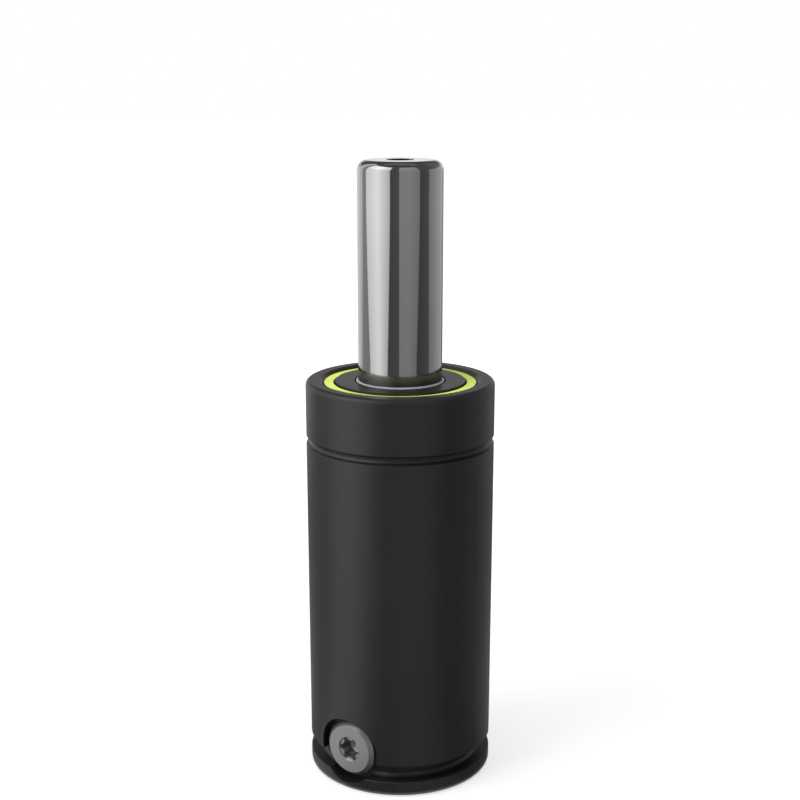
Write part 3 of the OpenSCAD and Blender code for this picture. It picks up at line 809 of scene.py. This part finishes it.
LEFT_SKIRT = card_section((0.76, 0.76, 0.76, 0.56, 0.36, 0.34), (0.12, 1.0), (0.2, 1.1), (0.57, 1.1))
LEFT_WALL = card_section((0.76, 0.76, 0.76, 0.56, 0.36, 0.34), (4.28, 1.0))
EDGE_WALL = card_section((0.9, 0.9, 0.9, 0.85, 0.8, 0.82), (4.28, 1.0))
SOFT_WALL = card_section((0.4, 0.5, 0.54, 0.62, 0.72, 0.82), (1.4, 1.0), (1.6, 1.35), (4.28, 1.35))
DARK_WALL = card_section((1.2, 1.4, 1.6, 1.8, 2.0, 2.2), (4.28, 1.0))
FRONT_WALL = card_section((0.72, 0.78, 0.85, 0.95, 1.15, 1.4), (0.3, 1.0), (1.4, 1.15), (4.28, 1.35))
RIGHT_WALL = card_section((0.8, 0.8, 0.76, 0.74, 0.6, 0.6), (0.9, 1.0), (1.2, 0.35), (4.28, 0.25))
RIGHT_SKIRT = (
    (0.0232, CARD_LIFT, 0.2), (0.5, CARD_LIFT, 0.35), (1.4, CARD_LIFT, 0.75), (3.0, CARD_LIFT, 0.9),
    (3.0, 0.12, 1.0), (3.0, 0.2, 2.3), (3.0, 0.57, 2.3),
)
HIGH_WALL = ((3.0, 0.58, 1.0), (3.0, 1.0, 1.0), (3.0, 1.2, 0.2), (3.0, 4.28, 0.05))
EAVES = ((3.0, 4.28, 1.0), (2.2, 4.94, 1.0))
CANOPY = ((2.2, 4.94, 1.0), (1.2, 5.4, 1.0), (0.005, 5.5, 1.0))
# Each card: name, section, and stations with turn from the camera, brightness and lean near the object
CARDS = (
    ("card_back_left", LEFT_SKIRT, ((-180, 0.76, 0), (-150, 0.78, 0), (-137, 0.68, 0))),
    ("card_far_left", LEFT_WALL, ((-137, 0.68, 0), (-118, 0.5, -6))),
    ("card_dim_left", EDGE_WALL, ((-118, 0.3, -6), (-102.4, 0.25, 14))),
    ("card_soft_left", SOFT_WALL, ((-102.4, 0.8, 14), (-63, 1.08, 4), (-27, 0.58, -7))),
    ("card_dark_left", DARK_WALL, ((-27, 0.07, -7), (-2.6, 0.09, 0))),
    ("card_front", FRONT_WALL, ((-2.6, 0.27, 0), (20, 0.28, 0), (44, 0.24, -8), (53.6, 0.2, -9))),
    ("card_dark_right", DARK_WALL, ((53.6, 0.06, -9), (82, 0.09, 2))),
    ("card_right", RIGHT_WALL, ((82, 0.23, 2), (150, 0.5, 0))),
    ("card_back_right", RIGHT_SKIRT, ((150, 0.37, 0), (180, 0.37, 0))),
    ("card_back_high", HIGH_WALL, ((150, 0.5, 0), (223, 0.5, 0))),
    ("card_eaves", EAVES, ((-180, 0.08, 0), (180, 0.08, 0))),
    ("card_canopy_front", CANOPY, ((-100, 0.12, 0), (-80, 0.07, 0), (80, 0.07, 0), (100, 0.12, 0))),
    ("card_canopy_back", CANOPY, ((100, 0.12, 0), (120, 0.17, 0), (240, 0.17, 0), (260, 0.12, 0))),
)
# Distances between which a card's lean dies out
LEAN_NEAR = 0.5
LEAN_FAR = 1.4
# Degrees that one step of a card's sweep covers
CARD_STEP = 3


def card_material():
    """Plain glow of a card, as bright as its own attribute says."""
    material = bpy.data.materials.new("card_glow")
    material.use_nodes = True
    tree = material.node_tree
    tree.nodes.remove(tree.nodes["Principled BSDF"])
    glow = tree.nodes.new("ShaderNodeAttribute")
    glow.attribute_name = "glow"
    light = tree.nodes.new("ShaderNodeEmission")
    tree.links.new(glow.outputs["Fac"], light.inputs["Strength"])
    tree.links.new(light.outputs[0], tree.nodes["Material Output"].inputs["Surface"])
    return material


def between(stations, turn):
    """Brightness and lean of a card between its stations."""
    for first, last in zip(stations, stations[1:]):
        if turn <= last[0]:
            share = max(0.0, (turn - first[0]) / (last[0] - first[0]))
            return [low + (high - low) * share for low, high in zip(first[1:], last[1:])]
    return stations[-1][1:]


def share_at(section, place):
    """Share of a card's brightness at the nearest point of its section."""
    reach = place.xy.length
    nearest = min(section, key=lambda point: (point[0] - reach) ** 2 + (point[1] - place.z) ** 2)
    return nearest[2]


def add_card(name, section, stations, view_turn, material):
    """A card swept round the object, seen by mirror rays only."""
    zero = view_turn - pi / 2
    start = zero + radians(stations[0][0])
    sweep = radians(stations[-1][0] - stations[0][0])
    bm = bmesh.new()
    glow = bm.verts.layers.float.new("glow")
    verts = [bm.verts.new((r * cos(start), r * sin(start), z)) for r, z, share in section]
    edges = [bm.edges.new(pair) for pair in zip(verts, verts[1:])]
    bmesh.ops.spin(
        bm, geom=verts + edges, cent=(0.0, 0.0, 0.0), axis=(0.0, 0.0, 1.0), dvec=(0.0, 0.0, 0.0),
        angle=sweep, steps=max(4, int(degrees(sweep) / CARD_STEP)), use_merge=False
    )
    middle = radians((stations[0][0] + stations[-1][0]) / 2)
    for vert in bm.verts:
        away = (atan2(vert.co.y, vert.co.x) - zero - middle + pi) % tau - pi
        brightness, lean = between(stations, degrees(away + middle))
        vert[glow] = brightness * share_at(section, vert.co)
        near = max(0.0, min(1.0, (LEAN_FAR - vert.co.xy.length) / (LEAN_FAR - LEAN_NEAR)))
        vert.co = Matrix.Rotation(radians(lean) * near, 3, "Z") @ vert.co
    card = piece_from(bm, name, material)
    card.visible_camera = False
    card.visible_diffuse = False
    card.visible_transmission = False
    card.visible_shadow = False


def add_lamp(name, power, size, place, target):
    """A soft square lamp that the metal doesn't mirror."""
    light = bpy.data.lights.new(name, "AREA")
    light.energy = power
    light.size = size
    lamp = bpy.data.objects.new(name, light)
    lamp.location = place
    lamp.rotation_euler = (Vector(target) - Vector(place)).to_track_quat("-Z", "Y").to_euler()
    lamp.visible_glossy = False
    bpy.context.scene.collection.objects.link(lamp)


class DIESPRING_OT_stage(bpy.types.Operator):
    """Sets up the floor, the light, the cards and the camera"""

    bl_idname = "die_spring.stage"
    bl_label = "Set up stage"

    def execute(self, context):
        stage = context.scene.die_spring_stage
        turn = stage.view_turn
        camera_data = bpy.data.cameras.new("studio_camera")
        camera_data.lens = stage.focal
        camera_data.shift_x = stage.shift_x
        camera_data.shift_y = stage.shift_y
        camera_data.clip_start = 0.01
        camera = bpy.data.objects.new("studio_camera", camera_data)
        camera.location = (sin(turn) * stage.distance, -cos(turn) * stage.distance, stage.height)
        camera.rotation_euler = (pi / 2 - stage.view_pitch, 0.0, turn)
        context.scene.collection.objects.link(camera)
        context.scene.camera = camera
        context.scene.view_settings.view_transform = "Standard"

        bm = bmesh.new()
        bmesh.ops.create_circle(bm, cap_ends=True, segments=64, radius=FLOOR_R)
        floor = piece_from(bm, "floor", floor_material(stage))
        light_world(stage)
        glow = card_material()
        for name, section, stations in CARDS:
            add_card(name, section, stations, turn, glow)
        key_turn = turn + KEY_TURN
        key_place = (KEY_REACH * sin(key_turn), -KEY_REACH * cos(key_turn), KEY_HEIGHT)
        add_lamp("key_lamp", stage.key_power, KEY_SIZE, key_place, KEY_AIM)
        add_lamp("top_lamp", stage.top_power, TOP_SIZE, (0.0, 0.0, TOP_HEIGHT), (0.0, 0.0, 0.0))
        return {"FINISHED"}


class DIESPRING_PT_panel(bpy.types.Panel):
    """Lists the steps that dress the die spring"""

    bl_idname = "DIESPRING_PT_panel"
    bl_label = "Die spring"
    bl_space_type = "VIEW_3D"
    bl_region_type = "UI"
    bl_category = "Die spring"

    def draw(self, context):
        for step in STEPS:
            self.layout.operator(step.bl_idname)
        for group in GROUPS:
            settings = getattr(context.scene, group)
            box = self.layout.box()
            for label in GROUPS[group].__annotations__:
                box.prop(settings, label)


STEPS = (
    DIESPRING_OT_finish_cylinder,
    DIESPRING_OT_finish_rod,
    DIESPRING_OT_finish_guide,
    DIESPRING_OT_finish_seals,
    DIESPRING_OT_finish_port,
    DIESPRING_OT_rod_thread,
    DIESPRING_OT_base_threads,
    DIESPRING_OT_valve_coil,
    DIESPRING_OT_stage,
)
GROUPS = {
    "die_spring_threads": DieSpringThreads,
    "die_spring_finishes": DieSpringFinishes,
    "die_spring_stage": DieSpringStage,
}


def register():
    for group in GROUPS:
        bpy.utils.register_class(GROUPS[group])
        setattr(bpy.types.Scene, group, PointerProperty(type=GROUPS[group]))
    for step in STEPS:
        bpy.utils.register_class(step)
    bpy.utils.register_class(DIESPRING_PT_panel)


def unregister():
    bpy.utils.unregister_class(DIESPRING_PT_panel)
    for step in reversed(STEPS):
        bpy.utils.unregister_class(step)
    for group in GROUPS:
        delattr(bpy.types.Scene, group)
        bpy.utils.unregister_class(GROUPS[group])


def main():
    register()
    bpy.ops.die_spring.finish_cylinder()
    bpy.ops.die_spring.finish_rod()
    bpy.ops.die_spring.finish_guide()
    bpy.ops.die_spring.finish_seals()
    bpy.ops.die_spring.finish_port()
    bpy.ops.die_spring.rod_thread()
    bpy.ops.die_spring.base_threads()
    bpy.ops.die_spring.valve_coil()
    bpy.ops.die_spring.stage()


if __name__ == "__main__":
    main()
